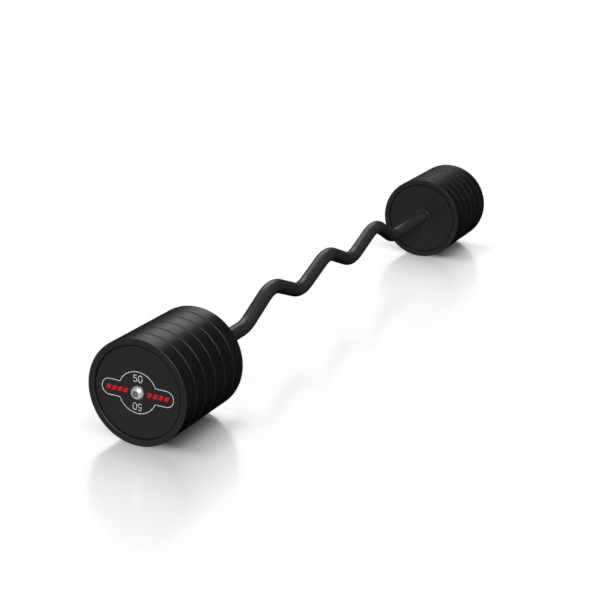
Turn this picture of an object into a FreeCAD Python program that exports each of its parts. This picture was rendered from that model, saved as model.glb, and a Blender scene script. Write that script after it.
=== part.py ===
"""Fixed-weight curl barbell: a bent bar with a head of rubber-jacketed iron plates bolted on each end.

Millimetres. +X runs along the bar, +Z is up, and the origin is on the floor midway between the heads.
Each head is drawn on the bar's axis on the +X side. The other head is the same one turned half round.
"""
import FreeCAD, Part
import math
import os

from FreeCAD import Vector

# Bar: round stock, straight into both heads, with three crests and two dips between them
BAR_DIAMETER = 30.0
HEAD_SPACING = 1178.0
BEND_RADIUS = 90.0
RUN_END_X = 389.0
SHOULDER_X = 275.0
SHOULDER_RISE = 57.0
DIP_X = 135.5
DIP_RISE = 4.5
CREST_RISE = 56.0
BAR_END_CHAMFER = 1.5
BAR_SOCKET_DEPTH = 12.0
BAR_END_GAP = 3.0

# Plates: a turned iron core with a full-width hub, moulded into a rubber jacket
PLATE_COUNT = 6
PLATE_DIAMETER = 200.0
PLATE_THICKNESS = 35.0
JOINT_ROUND = 2.0
END_ROUND = 2.0
RIM_WIDTH = 11.5
RIM_EDGE_ROUND = 1.5
RIM_DRAFT = 2.0
RECESS_DEPTH = 3.5
GROOVE_WIDTH = 1.5
GROOVE_DEPTH = 2.0
FACE_COVER = 7.5
RUBBER_WALL = 26.5
HUB_DIAMETER = 64.0
HUB_STEP = 0.5
BORE_CLEARANCE = 0.15

# Shoulder collar: shrunk on the bar, let into the innermost plate, and stands a little proud of its recess
COLLAR_DIAMETER = 47.0
COLLAR_LENGTH = 14.0
COLLAR_PROUD = 1.0
COLLAR_CHAMFER = 1.2
COLLAR_CLEARANCE = 0.5

# End bolt: button head with a hex socket, screwed into the tapped end of the bar
THREAD_DIAMETER = 16.0
BOLT_LENGTH = 50.0
BOLT_TIP_CHAMFER = 1.5
HEAD_DIAMETER = 28.0
HEAD_HEIGHT = 8.8
HEAD_LIP = 1.2
HEAD_LAND_DIAMETER = 14.5
SOCKET_ACROSS_FLATS = 10.0
SOCKET_DEPTH = 5.2
THREAD_CLEARANCE = 0.05
BOLT_HOLE_CLEARANCE = 0.75
HEAD_CLEARANCE = 0.3
TAP_SPARE = 6.0
TAP_MOUTH_CHAMFER = 1.0

# Lock washer: a split spring ring under the bolt's head, with its cut on a slant
WASHER_THICKNESS = 3.5
WASHER_WIDTH = 5.35
WASHER_CLEARANCE = 0.35
WASHER_SPLIT = 1.6
WASHER_SPLIT_SLANT_DEG = 25.0

# Badge: a disc with two round-ended wings, stuck on the recessed face of one end plate
BADGE_DISC_DIAMETER = 79.2
BADGE_MARGIN = 11.7
BADGE_WING_HEIGHT = 31.5
BADGE_THICKNESS = 0.4
BADGE_HOLE_CLEARANCE = 0.6

# Cuts run this far past the faces that they open through
OVERRUN = 1.0

# Worked out from the sizes above
BAR_RADIUS = BAR_DIAMETER / 2
PLATE_RADIUS = PLATE_DIAMETER / 2
RIM_INNER_RADIUS = PLATE_RADIUS - RIM_WIDTH
RIM_FOOT_RADIUS = RIM_INNER_RADIUS - RIM_DRAFT
RECESS_RADIUS = RIM_FOOT_RADIUS - GROOVE_WIDTH
CORE_RADIUS = PLATE_RADIUS - RUBBER_WALL
HUB_RADIUS = HUB_DIAMETER / 2
BORE_RADIUS = BAR_RADIUS + BORE_CLEARANCE
COLLAR_RADIUS = COLLAR_DIAMETER / 2
COLLAR_POCKET_RADIUS = COLLAR_RADIUS + COLLAR_CLEARANCE
THREAD_RADIUS = THREAD_DIAMETER / 2
HEAD_RADIUS = HEAD_DIAMETER / 2
BOLT_HOLE_RADIUS = THREAD_RADIUS + BOLT_HOLE_CLEARANCE
HEAD_WELL_RADIUS = HEAD_RADIUS + HEAD_CLEARANCE
RIM_INNER_ROUND = min(RIM_EDGE_ROUND, RECESS_DEPTH / 2)

# Places along the axis, measured from the inner rim of the right head
CORE_START = FACE_COVER
CORE_END = PLATE_THICKNESS - FACE_COVER
COLLAR_START = RECESS_DEPTH - COLLAR_PROUD
COLLAR_SEAT = COLLAR_START + COLLAR_LENGTH
HEAD_START = HEAD_SPACING / 2
END_PLATE_START = HEAD_START + (PLATE_COUNT - 1) * PLATE_THICKNESS
BAR_END = END_PLATE_START + BAR_SOCKET_DEPTH
SOCKET_FLOOR = BAR_SOCKET_DEPTH + BAR_END_GAP
HUB_END = CORE_END + HUB_STEP
WASHER_SEAT = END_PLATE_START + HUB_END
HEAD_SEAT = WASHER_SEAT + WASHER_THICKNESS
BADGE_FACE = END_PLATE_START + PLATE_THICKNESS - RECESS_DEPTH

ORIGIN = Vector(0, 0, 0)
ALONG = Vector(1, 0, 0)
UP = Vector(0, 0, 1)


def rounded_edges(corners, closed):
    """Edges through (point, radius) corners: straight runs, with a tangent arc at each rounded corner."""
    count = len(corners)
    stations = []
    for index, (point, radius) in enumerate(corners):
        if radius == 0:
            stations.append((point, None, point))
            continue
        before = (corners[index - 1][0] - point).normalize()
        after = (corners[(index + 1) % count][0] - point).normalize()
        half_angle = before.getAngle(after) / 2
        reach = radius / math.tan(half_angle)
        inward = (before + after).normalize()
        middle = point + inward * (radius / math.sin(half_angle) - radius)
        stations.append((point + before * reach, middle, point + after * reach))
    edges = []
    for index, (start, middle, end) in enumerate(stations):
        if middle is not None:
            edges.append(Part.Arc(start, middle, end).toShape())
        if index + 1 < count or closed:
            edges.append(Part.LineSegment(end, stations[(index + 1) % count][0]).toShape())
    return edges


def turned(corners):
    """Solid turned about the bar's axis from (x, radius) or (x, radius, round) corners."""
    outline = [(Vector(corner[0], 0, corner[1]), sum(corner[2:])) for corner in corners]
    face = Part.Face(Part.Wire(rounded_edges(outline, closed=True)))
    return face.revolve(ORIGIN, ALONG, 360)


def rod(radius, start, end):
    """Plain cylinder on the bar's axis from one x to another."""
    return Part.makeCylinder(radius, end - start, Vector(start, 0, 0), ALONG)


def tapped_hole():
    """Cutter for the hole in the bar's end that takes the bolt: bore, and a countersunk mouth."""
    radius = THREAD_RADIUS + THREAD_CLEARANCE
    floor = HEAD_SEAT - BOLT_LENGTH - TAP_SPARE
    mouth = radius + TAP_MOUTH_CHAMFER
    mouth_start = Vector(BAR_END - TAP_MOUTH_CHAMFER, 0, 0)
    cone = Part.makeCone(radius, mouth, TAP_MOUTH_CHAMFER, mouth_start, ALONG)
    return rod(radius, floor, BAR_END + OVERRUN).fuse(cone)


def curl_bar():
    """The bar: a round section carried along straight runs and tangent bends, with tapped ends."""
    rises = [(RUN_END_X, 0), (SHOULDER_X, SHOULDER_RISE), (DIP_X, DIP_RISE)]
    bends = [(-x, z) for x, z in rises] + [(0, CREST_RISE)] + [(x, z) for x, z in reversed(rises)]
    start = [(Vector(-BAR_END, 0, 0), 0)]
    end = [(Vector(BAR_END, 0, 0), 0)]
    route = start + [(Vector(x, 0, z), BEND_RADIUS) for x, z in bends] + end
    path = Part.Wire(rounded_edges(route, closed=False))
    section = Part.Wire(Part.makeCircle(BAR_RADIUS, Vector(-BAR_END, 0, 0), ALONG))
    bar = path.makePipeShell([section], True, False)
    expected = math.pi * BAR_RADIUS ** 2 * path.Length
    print(f"bar {path.Length:.1f} mm long, volume {bar.Volume / expected:.5f} of section times length")
    end_edges = [edge for edge in bar.Edges if abs(abs(edge.CenterOfMass.x) - BAR_END) < THREAD_CLEARANCE]
    bar = bar.makeChamfer(BAR_END_CHAMFER, end_edges)
    hole = tapped_hole()
    return bar.cut(hole).cut(other_end(hole))


def shoulder_collar():
    """Ring on the bar that the plates are clamped against, chamfered on its open face."""
    start = HEAD_START + COLLAR_START
    end = HEAD_START + COLLAR_SEAT
    edge = COLLAR_RADIUS - COLLAR_CHAMFER
    return turned([
        (start, BAR_RADIUS), (start, edge), (start + COLLAR_CHAMFER, COLLAR_RADIUS),
        (end, COLLAR_RADIUS), (end, BAR_RADIUS),
    ])


def plate_core(number):
    """Iron core of a plate, disc and hub. The first takes the collar, the last the bar's end and bolt."""
    disc = [(CORE_START, CORE_RADIUS), (CORE_END, CORE_RADIUS), (CORE_END, HUB_RADIUS)]
    inner = [(0, BORE_RADIUS), (0, HUB_RADIUS), (CORE_START, HUB_RADIUS)]
    outer = [(PLATE_THICKNESS, HUB_RADIUS), (PLATE_THICKNESS, BORE_RADIUS)]
    if number == 1:
        inner = [
            (COLLAR_SEAT, BORE_RADIUS), (COLLAR_SEAT, COLLAR_POCKET_RADIUS),
            (CORE_START, COLLAR_POCKET_RADIUS),
        ]
    if number == PLATE_COUNT:
        outer = [
            (HUB_END, HUB_RADIUS), (HUB_END, BOLT_HOLE_RADIUS),
            (SOCKET_FLOOR, BOLT_HOLE_RADIUS), (SOCKET_FLOOR, BORE_RADIUS),
        ]
    return turned(inner + disc + outer)


def recessed_face():
    """Corners of a head's outward face at x = 0: flat recess, groove, leaning wall, rim and outer edge."""
    groove_floor = RECESS_DEPTH + GROOVE_DEPTH
    return [
        (RECESS_DEPTH, RECESS_RADIUS, 0), (groove_floor, RECESS_RADIUS, 0),
        (groove_floor, RIM_FOOT_RADIUS, 0), (RECESS_DEPTH, RIM_FOOT_RADIUS, 0),
        (0, RIM_INNER_RADIUS, RIM_INNER_ROUND), (0, PLATE_RADIUS, END_ROUND),
    ]


def plate_jacket(number):
    """Rubber jacket round a core. An outward face of the head has a raised rim round a recess."""
    inner = [(CORE_START, HUB_RADIUS), (0, HUB_RADIUS), (0, PLATE_RADIUS, JOINT_ROUND)]
    outer = [
        (PLATE_THICKNESS, PLATE_RADIUS, JOINT_ROUND), (PLATE_THICKNESS, HUB_RADIUS), (CORE_END, HUB_RADIUS),
    ]
    lining = [(CORE_END, CORE_RADIUS), (CORE_START, CORE_RADIUS)]
    if number == 1:
        pocket = [(CORE_START, COLLAR_POCKET_RADIUS), (RECESS_DEPTH, COLLAR_POCKET_RADIUS)]
        inner = pocket + recessed_face()
    if number == PLATE_COUNT:
        face = [(PLATE_THICKNESS - x, radius, rounding) for x, radius, rounding in reversed(recessed_face())]
        well = [(PLATE_THICKNESS - RECESS_DEPTH, HEAD_WELL_RADIUS), (HUB_END, HEAD_WELL_RADIUS)]
        outer = face + well + [(HUB_END, HUB_RADIUS), (CORE_END, HUB_RADIUS)]
    return turned(inner + outer + lining)


def end_bolt():
    """Button-head bolt: a round shank, a head that is part of a ball, and a hex socket in its flat top."""
    land = HEAD_LAND_DIAMETER / 2
    difference = land ** 2 + HEAD_HEIGHT ** 2 - HEAD_RADIUS ** 2 - HEAD_LIP ** 2
    ball_centre = difference / (2 * (HEAD_HEIGHT - HEAD_LIP))
    ball_radius = math.hypot(HEAD_RADIUS, HEAD_LIP - ball_centre)
    lip_angle = math.atan2(HEAD_RADIUS, HEAD_LIP - ball_centre)
    land_angle = math.atan2(land, HEAD_HEIGHT - ball_centre)
    middle_angle = (lip_angle + land_angle) / 2
    crown_x = HEAD_SEAT + ball_centre + ball_radius * math.cos(middle_angle)
    crown = Vector(crown_x, 0, ball_radius * math.sin(middle_angle))
    tip = HEAD_SEAT - BOLT_LENGTH
    top = HEAD_SEAT + HEAD_HEIGHT
    below = [
        Vector(top, 0, 0), Vector(tip, 0, 0), Vector(tip, 0, THREAD_RADIUS - BOLT_TIP_CHAMFER),
        Vector(tip + BOLT_TIP_CHAMFER, 0, THREAD_RADIUS), Vector(HEAD_SEAT, 0, THREAD_RADIUS),
        Vector(HEAD_SEAT, 0, HEAD_RADIUS), Vector(HEAD_SEAT + HEAD_LIP, 0, HEAD_RADIUS),
    ]
    edges = [Part.LineSegment(a, b).toShape() for a, b in zip(below, below[1:])]
    edges.append(Part.Arc(below[-1], crown, Vector(top, 0, land)).toShape())
    edges.append(Part.LineSegment(Vector(top, 0, land), below[0]).toShape())
    bolt = Part.Face(Part.Wire(edges)).revolve(ORIGIN, ALONG, 360)
    return bolt.cut(hex_socket(top))


def hex_socket(top):
    """Cutter for the socket: a hexagon prism with a flat side up, down from the head's flat top."""
    corner_radius = SOCKET_ACROSS_FLATS / math.sqrt(3)
    floor = top - SOCKET_DEPTH
    angles = [math.radians(60 * side) for side in range(7)]
    corners = [Vector(floor, corner_radius * math.cos(a), corner_radius * math.sin(a)) for a in angles]
    return Part.Face(Part.makePolygon(corners)).extrude(ALONG * (SOCKET_DEPTH + OVERRUN))


def lock_washer():
    """Split ring between the last core's hub and the bolt's head, cut through at its top on a slant."""
    inner = THREAD_RADIUS + WASHER_CLEARANCE
    outer = inner + WASHER_WIDTH
    ring = rod(outer, WASHER_SEAT, HEAD_SEAT).cut(rod(inner, WASHER_SEAT - OVERRUN, HEAD_SEAT + OVERRUN))
    middle = Vector((WASHER_SEAT + HEAD_SEAT) / 2, 0, (inner + outer) / 2)
    length = WASHER_THICKNESS + WASHER_WIDTH
    height = WASHER_WIDTH + OVERRUN
    corner = middle - Vector(length, WASHER_SPLIT, height) / 2
    split = Part.makeBox(length, WASHER_SPLIT, height, corner)
    split.rotate(middle, UP, WASHER_SPLIT_SLANT_DEG)
    return ring.cut(split)


def badge():
    """Thin winged badge: a disc joined to a round-ended bar, which ends a margin inside the recess."""
    wing_radius = BADGE_WING_HEIGHT / 2
    wing_centre = RECESS_RADIUS - BADGE_MARGIN - wing_radius
    end = BADGE_FACE + BADGE_THICKNESS
    shape = rod(BADGE_DISC_DIAMETER / 2, BADGE_FACE, end)
    wing_corner = Vector(BADGE_FACE, -wing_centre, -wing_radius)
    wings = [Part.makeBox(BADGE_THICKNESS, 2 * wing_centre, BADGE_WING_HEIGHT, wing_corner)]
    for side in (-1, 1):
        centre = Vector(BADGE_FACE, side * wing_centre, 0)
        wings.append(Part.makeCylinder(wing_radius, BADGE_THICKNESS, centre, ALONG))
    shape = shape.multiFuse(wings).removeSplitter()
    hole = rod(HEAD_RADIUS + BADGE_HOLE_CLEARANCE, BADGE_FACE - OVERRUN, end + OVERRUN)
    return shape.cut(hole)


def other_end(shape):
    """A copy of a right-hand piece, turned half round to the left end."""
    copy = shape.copy()
    copy.rotate(ORIGIN, UP, 180)
    return copy


def right_head():
    """Every piece of the right head by its own name, in place along the axis."""
    pieces = {"shoulder_collar": shoulder_collar()}
    for number in range(1, PLATE_COUNT + 1):
        offset = Vector(HEAD_START + (number - 1) * PLATE_THICKNESS, 0, 0)
        for name, make in (("plate_core", plate_core), ("plate_jacket", plate_jacket)):
            piece = make(number)
            piece.translate(offset)
            pieces[f"{name}_{number}"] = piece
    pieces["lock_washer"] = lock_washer()
    pieces["end_bolt"] = end_bolt()
    return pieces


def barbell():
    """Every node by name, with the bar's axis at the height where the plates stand on the floor."""
    nodes = {"curl_bar": curl_bar(), "left_badge": other_end(badge())}
    for name, piece in right_head().items():
        nodes[f"right_{name}"] = piece
        nodes[f"left_{name}"] = other_end(piece)
    for shape in nodes.values():
        shape.translate(UP * PLATE_RADIUS)
    return nodes


def single_solid(name, shape):
    """The one solid that a node holds."""
    solids = shape.Solids
    if len(solids) != 1 or not solids[0].isValid():
        raise ValueError(f"{name} is not one valid solid")
    return solids[0]


def main():
    os.makedirs("parts", exist_ok=True)
    for name, shape in barbell().items():
        single_solid(name, shape).exportStep(f"parts/{name}.step")


main()
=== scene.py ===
"""Looks of a fixed-weight curl barbell: fine surfaces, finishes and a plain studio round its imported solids.

Metres, in the frame of the solids. Each head is worked out on the right-hand side, and its left-hand copy is
the same one turned half round about the upright axis.
"""
import math

import bpy
import numpy as np
from bpy.props import FloatProperty, FloatVectorProperty, IntProperty, PointerProperty
from mathutils import Matrix, Vector


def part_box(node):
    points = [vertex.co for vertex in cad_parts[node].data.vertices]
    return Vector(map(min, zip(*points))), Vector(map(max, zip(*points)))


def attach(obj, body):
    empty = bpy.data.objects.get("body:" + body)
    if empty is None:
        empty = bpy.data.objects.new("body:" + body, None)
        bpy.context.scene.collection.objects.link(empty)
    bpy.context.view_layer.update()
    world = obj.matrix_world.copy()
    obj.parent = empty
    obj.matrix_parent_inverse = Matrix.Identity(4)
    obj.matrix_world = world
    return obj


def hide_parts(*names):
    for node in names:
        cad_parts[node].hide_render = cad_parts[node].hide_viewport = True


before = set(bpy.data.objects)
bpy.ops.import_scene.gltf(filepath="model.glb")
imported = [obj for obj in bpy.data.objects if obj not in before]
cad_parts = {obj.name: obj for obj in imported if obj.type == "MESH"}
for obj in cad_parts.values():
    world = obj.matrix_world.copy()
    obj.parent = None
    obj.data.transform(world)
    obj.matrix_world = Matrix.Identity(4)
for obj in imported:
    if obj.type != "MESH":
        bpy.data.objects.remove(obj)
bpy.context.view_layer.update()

bl_info = {
    "name": "Curl Barbell",
    "version": (1, 0, 0),
    "blender": (4, 5, 0),
    "location": "3D View > Sidebar > Barbell",
    "description": "Builds the pieces, finishes and studio of a fixed-weight curl barbell round its solids",
    "category": "Add Mesh",
}

MM = 0.001
TURN = 2 * math.pi
SIDES = {"left": -1, "right": 1}
PLATE_COUNT = 6

# Places along the right-hand head, read from the solids
PLATE_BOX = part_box("right_plate_jacket_1")
AXIS_HEIGHT = (PLATE_BOX[0].z + PLATE_BOX[1].z) / 2
PLATE_RADIUS = PLATE_BOX[1].z - AXIS_HEIGHT
PLATE_THICKNESS = PLATE_BOX[1].x - PLATE_BOX[0].x
HEAD_START = PLATE_BOX[0].x
COLLAR_START, COLLAR_END = (corner.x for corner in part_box("right_shoulder_collar"))
WASHER_SEAT, HEAD_SEAT = (corner.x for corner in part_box("right_lock_washer"))
BOLT_TIP, HEAD_TOP = (corner.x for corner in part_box("right_end_bolt"))
BAR_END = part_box("curl_bar")[1].x
BADGE_FACE = -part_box("left_badge")[1].x
BADGE_TOP = -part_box("left_badge")[0].x
HEAD_END = HEAD_START + PLATE_COUNT * PLATE_THICKNESS

# Inside of the plates, which the solids also have
HUB_RADIUS = 32 * MM
CORE_RADIUS = 73.5 * MM
FACE_COVER = 7.5 * MM
COLLAR_POCKET_RADIUS = 24 * MM
HEAD_WELL_RADIUS = 14.3 * MM


def length(name, description, default):
    """A length that a user may change, in metres."""
    return FloatProperty(name=name, description=description, default=default, min=0, precision=5,
                         unit="LENGTH")


def colour(name, description, default):
    """A colour that a user may change, as linear red, green and blue."""
    return FloatVectorProperty(name=name, description=description, default=default, min=0, max=1,
                               subtype="COLOR", size=3)


def share(name, description, default):
    """A share from 0 to 1 that a user may change."""
    return FloatProperty(name=name, description=description, default=default, min=0, max=1,
                         subtype="FACTOR")


def degrees(name, description, default):
    """An angle that a user may change, given here in degrees."""
    return FloatProperty(name=name, description=description, default=math.radians(default),
                         subtype="ANGLE", unit="ROTATION")


def whole(name, description, default, least):
    """A whole number that a user may change."""
    return IntProperty(name=name, description=description, default=default, min=least)


class PlateSettings(bpy.types.PropertyGroup):
    """Sizes and finish of the rubber jackets and iron cores"""
    columns: whole("Columns", "Points round each turned piece", 192, 24)
    end_round: length("End round", "Radius of the outer edge on both ends of a head", 2 * MM)
    joint_round: length("Joint round", "Radius of the plates' edges where two plates meet", 2 * MM)
    rim_width: length("Rim width", "Width of the raised rim on both ends of a head", 11.5 * MM)
    rim_edge_round: length("Rim edge round", "Radius of the rim's inner edge", 2.5 * MM)
    rim_draft: length("Rim draft", "How far the rim's inner wall leans inwards at its foot", 2 * MM)
    recess_depth: length("Recess depth", "Depth of the recess inside the rim", 3.5 * MM)
    groove_width: length("Groove width", "Width of the groove round the recess's floor", 1.5 * MM)
    groove_depth: length("Groove depth", "Depth of the groove round the recess's floor", 2 * MM)
    rubber: colour("Rubber", "Colour of the jackets", (0.0068, 0.0068, 0.0069))
    scuffed: colour("Scuffed rubber", "Colour of the jackets where handling greys them",
                    (0.012, 0.012, 0.012))
    roughness: share("Rubber roughness", "Roughness of clean rubber", 0.32)
    iron: colour("Iron", "Colour of the cores", (0.10, 0.10, 0.105))


class BarSettings(bpy.types.PropertyGroup):
    """Sizes and finish of the bar and its shoulder collars"""
    columns: whole("Columns", "Points round the bar", 72, 12)
    radius: length("Bar radius", "Half of the bar's diameter", 15 * MM)
    bend_radius: length("Bend radius", "Radius of each bend on the bar's centre line", 90 * MM)
    run_end: length("Run end", "Where the outer straight runs end, from the bar's middle", 389 * MM)
    shoulder: length("Shoulder", "Place of the outer crests, from the bar's middle", 275 * MM)
    shoulder_rise: length("Shoulder rise", "Height of the outer crests over the ends' axis", 57 * MM)
    dip: length("Dip", "Place of the dips, from the bar's middle", 135.5 * MM)
    dip_rise: length("Dip rise", "Height of the dips over the ends' axis", 4.5 * MM)
    crest_rise: length("Crest rise", "Height of the middle crest over the ends' axis", 56 * MM)
    end_chamfer: length("End chamfer", "Chamfer on the bar's ends", 1.5 * MM)
    tap_radius: length("Tap radius", "Radius of the tapped hole in each end", 8.05 * MM)
    tap_mouth: length("Tap mouth", "Chamfer on the tapped hole's mouth", 1 * MM)
    tap_spare: length("Tap spare", "Depth of the tapped hole past the bolt's tip", 6 * MM)
    collar_radius: length("Collar radius", "Half of the shoulder collar's diameter", 23.5 * MM)
    collar_chamfer: length("Collar chamfer", "Chamfer on the collar's open face", 1.2 * MM)
    collar_round: length("Collar round", "Radius of the chamfer's two edges", 0.3 * MM)
    paint: colour("Paint", "Colour of the bar", (0.024, 0.024, 0.0245))
    collar_paint: colour("Collar paint", "Colour of the shoulder collars", (0.011, 0.011, 0.0112))
    roughness: share("Paint roughness", "Roughness of the paint", 0.31)


class BoltSettings(bpy.types.PropertyGroup):
    """Sizes and finish of the end bolts and lock washers"""
    columns: whole("Columns", "Points round a bolt, a multiple of six", 96, 24)
    head_radius: length("Head radius", "Half of the bolt head's diameter", 14 * MM)
    head_lip: length("Head lip", "Straight height at the edge of the head", 1.2 * MM)
    head_chamfer: length("Head chamfer", "Chamfer on the head's lower edge", 0.25 * MM)
    neck_chamfer: length("Neck chamfer", "Chamfer between the head and the shank", 0.4 * MM)
    land_radius: length("Land radius", "Half of the flat top's diameter", 7.25 * MM)
    socket_flats: length("Socket", "Width of the hexagon socket across its flats", 10 * MM)
    socket_depth: length("Socket depth", "Depth of the hexagon socket", 5.2 * MM)
    socket_point: length("Socket point", "Depth of the drill's point below the socket's floor", 0.6 * MM)
    countersink: degrees("Countersink", "Slope of the cone at the socket's mouth", 60)
    thread_radius: length("Thread radius", "Half of the thread's outer diameter", 8 * MM)
    pitch: length("Thread pitch", "Step of the thread in one turn", 2 * MM)
    tip_chamfer: length("Tip chamfer", "Chamfer on the bolt's tip", 1.5 * MM)
    washer_width: length("Washer width", "Width of the lock washer's ring", 5.35 * MM)
    washer_bore: length("Washer bore", "Radius of the lock washer's hole", 8.35 * MM)
    washer_split: length("Washer split", "Width of the cut through the lock washer", 1.6 * MM)
    washer_round: length("Washer round", "Radius of the lock washer's edges", 0.35 * MM)
    split_slant: degrees("Split slant", "Slant of the cut through the lock washer", 25)
    steel: colour("Steel", "Colour of the plated bolts", (0.93, 0.925, 0.915))
    washer_steel: colour("Washer steel", "Colour of the lock washers", (0.42, 0.42, 0.43))
    roughness: share("Steel roughness", "Roughness of the plated steel", 0.24)


class BadgeSettings(bpy.types.PropertyGroup):
    """Sizes and colours of the badge and its print"""
    disc_radius: length("Disc radius", "Half of the diameter of the badge's middle", 39.6 * MM)
    half_span: length("Half span", "From the badge's middle to a wing's end", 73.3 * MM)
    wing_half_height: length("Wing half height", "Half of a wing's height", 15.75 * MM)
    hole_radius: length("Hole radius", "Radius of the hole round the bolt's head", 14.6 * MM)
    film_chamfer: length("Film chamfer", "Chamfer along the badge's edge", 0.12 * MM)
    border_inset: length("Border inset", "From the badge's edge to the pale line", 0.2 * MM)
    stroke: length("Border width", "Width of the pale line along the edge", 1.25 * MM)
    ink: length("Ink thickness", "Height of the print over the film", 0.05 * MM)
    number_height: length("Number height", "Height of the digits", 13.6 * MM)
    number_width: length("Digit width", "Width of one digit", 8.5 * MM)
    number_gap: length("Digit gap", "Gap between the two digits", 1.7 * MM)
    number_stroke: length("Digit stroke", "Width of the digits' line", 1.25 * MM)
    number_place: length("Number place", "From the badge's middle to the middle of a number", 26.2 * MM)
    dash_start: length("Dash start", "From the badge's middle to the first red dash", 20.5 * MM)
    dash_end: length("Dash end", "From the badge's middle to the end of the last red dash", 62.5 * MM)
    dash_height: length("Dash height", "Height of the red dashes", 8.4 * MM)
    dash_gap: length("Dash gap", "Gap between two red dashes", 4 * MM)
    dash_count: whole("Dash count", "Red dashes on each wing", 4, 1)
    dash_slant: degrees("Dash slant", "Lean of the red dashes", 20)
    film: colour("Film", "Colour of the badge", (0.0070, 0.0070, 0.0070))
    pale_ink: colour("Pale ink", "Colour of the border and the numbers", (0.78, 0.78, 0.79))
    red_ink: colour("Red ink", "Colour of the dashes", (0.74, 0.006, 0.008))


class StageSettings(bpy.types.PropertyGroup):
    """Floor, light and camera"""
    floor_size: length("Floor size", "Width of the floor", 60.0)
    floor: colour("Floor", "Colour of the floor", (0.95, 0.95, 0.95))
    sheen: share("Floor sheen", "Share of the light that the floor mirrors", 0.52)
    blur: share("Sheen blur", "Spread of the floor's mirroring", 0.2)
    haze_height: length("Haze height", "Height of the haze that dims what the floor mirrors", 0.25)
    haze_reach: length("Haze reach", "Way through the haze that hides two thirds of what is mirrored", 0.2)
    close: share("Close shadow", "Share of the floor's shadow that stays close to what stands on it", 0.85)
    close_reach: length("Close reach", "How far that close shadow reaches", 0.08)
    shaded: length("Shaded floor", "How far from the barbell the floor starts to fade to white", 0.5)
    faded: length("Faded floor", "How far from the barbell the floor is all white", 1.1)
    fill: share("Fill", "Level of the even light from above", 0.38)
    bounce: share("Bounce", "Level of the even light from below", 0.03)
    lens: FloatProperty(name="Lens", description="Focal length of the camera", default=87.34, min=1,
                        subtype="DISTANCE_CAMERA")
    eye: FloatVectorProperty(name="Camera place", description="Camera from the middle of the bar's axis",
                             default=(-2.82087, -1.27269, 0.90569), subtype="TRANSLATION", size=3)
    heading: degrees("Heading", "Camera's turn from the bar's length", 25.35)
    tilt: degrees("Tilt", "Camera's look downwards", 17.23)
    roll: degrees("Roll", "Turn of the barbell on its plates, given to the camera instead", 3.0)


class BarbellSettings(bpy.types.PropertyGroup):
    """All the settings of the barbell"""
    plates: PointerProperty(type=PlateSettings)
    bar: PointerProperty(type=BarSettings)
    bolts: PointerProperty(type=BoltSettings)
    badge: PointerProperty(type=BadgeSettings)
    stage: PointerProperty(type=StageSettings)


# Surfaces

SHARP_ANGLE = math.radians(32)
ARC_STEP = math.radians(9)
LEAST_ARC_STEPS = 3
SUPPORT = 0.35 * MM
LEAST_VOLUME = 1e-15


def rounded_outline(corners):
    """Closed outline through (x, r, round) corners, and a mask that is 1 on its arcs.

    An arc of the given radius touches both runs of its corner: it starts radius / tan(half angle) before it.
    A support point just outside each end of the arc keeps the flats beside it flat in shading.
    """
    places = np.array([corner[:2] for corner in corners], float)
    points, mask = [], []
    for here, before, after, corner in zip(places, np.roll(places, 1, 0), np.roll(places, -1, 0), corners):
        radius = corner[2]
        if radius == 0:
            points.append(here[None])
            mask.append(np.zeros(1))
            continue
        back, ahead = (way / np.linalg.norm(way) for way in (before - here, after - here))
        half = math.acos(np.clip(back @ ahead, -1, 1)) / 2
        middle = (back + ahead) / np.linalg.norm(back + ahead)
        across = (ahead - back) / np.linalg.norm(ahead - back)
        centre = here + middle * radius / math.sin(half)
        reach = radius / math.tan(half) + SUPPORT
        sweep = math.pi - 2 * half
        steps = max(LEAST_ARC_STEPS, math.ceil(sweep / ARC_STEP))
        turn = np.linspace(-sweep / 2, sweep / 2, steps + 1)[:, None]
        arc = centre + radius * (np.sin(turn) * across - np.cos(turn) * middle)
        points += [(here + back * reach)[None], arc, (here + ahead * reach)[None]]
        mask += [np.zeros(1), np.ones(len(turn)), np.zeros(1)]
    return np.concatenate(points), np.concatenate(mask)


def even_turn(columns):
    """Angles that divide a full turn evenly."""
    return np.arange(columns) * TURN / columns


def round_axis(x, r, angle):
    """Points round the bar's axis: at x, radius r and angle a from the top they are (x, r sin a, r cos a)."""
    return np.stack(np.broadcast_arrays(x, r * np.sin(angle), r * np.cos(angle)), -1)


def turned(outline, columns):
    """Rings of a turned surface: each (x, r) of the outline carried round the axis."""
    return round_axis(outline[:, :1], outline[:, 1:], even_turn(columns))


def skin(rings, closed):
    """Points and faces over rings: quads between neighbours, and a fan on each end unless the ends meet."""
    rows, columns = rings.shape[:2]
    index = np.arange(rows * columns).reshape(rows, columns)
    if closed:
        index = np.vstack([index, index[:1]])
    ahead = np.roll(index, -1, axis=1)
    quads = np.stack([index[:-1], ahead[:-1], ahead[1:], index[1:]], -1).reshape(-1, 4)
    points = rings.reshape(-1, 3)
    if closed:
        return points, [quads]
    poles = rings[[0, -1]].mean(1)
    first, last = np.full(columns, len(points)), np.full(columns, len(points) + 1)
    fans = [np.stack([ahead[0], index[0], first], -1), np.stack([index[-1], ahead[-1], last], -1)]
    return np.concatenate([points, poles]), [quads, *fans]


def joined(skins):
    """One set of points and faces from several."""
    starts = np.cumsum([0] + [len(points) for points, _ in skins])
    faces = [face + start for (_, parts), start in zip(skins, starts) for face in parts]
    return np.concatenate([points for points, _ in skins]), faces


def volume(points, faces):
    """Volume inside closed faces: a sum of a x b . c / 6 over triangles that fan from each first corner."""
    total = 0.0
    for part in faces:
        first = points[part[:, 0]]
        for step in range(1, part.shape[1] - 1):
            second, third = points[part[:, step]], points[part[:, step + 1]]
            total += np.sum(np.cross(first, second) * third) / 6
    return total


def placed(points, side):
    """Points of the right-hand side in the frame, turned half round about the upright axis for the left."""
    return points * (side, side, 1) + (0, 0, AXIS_HEIGHT)


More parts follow.
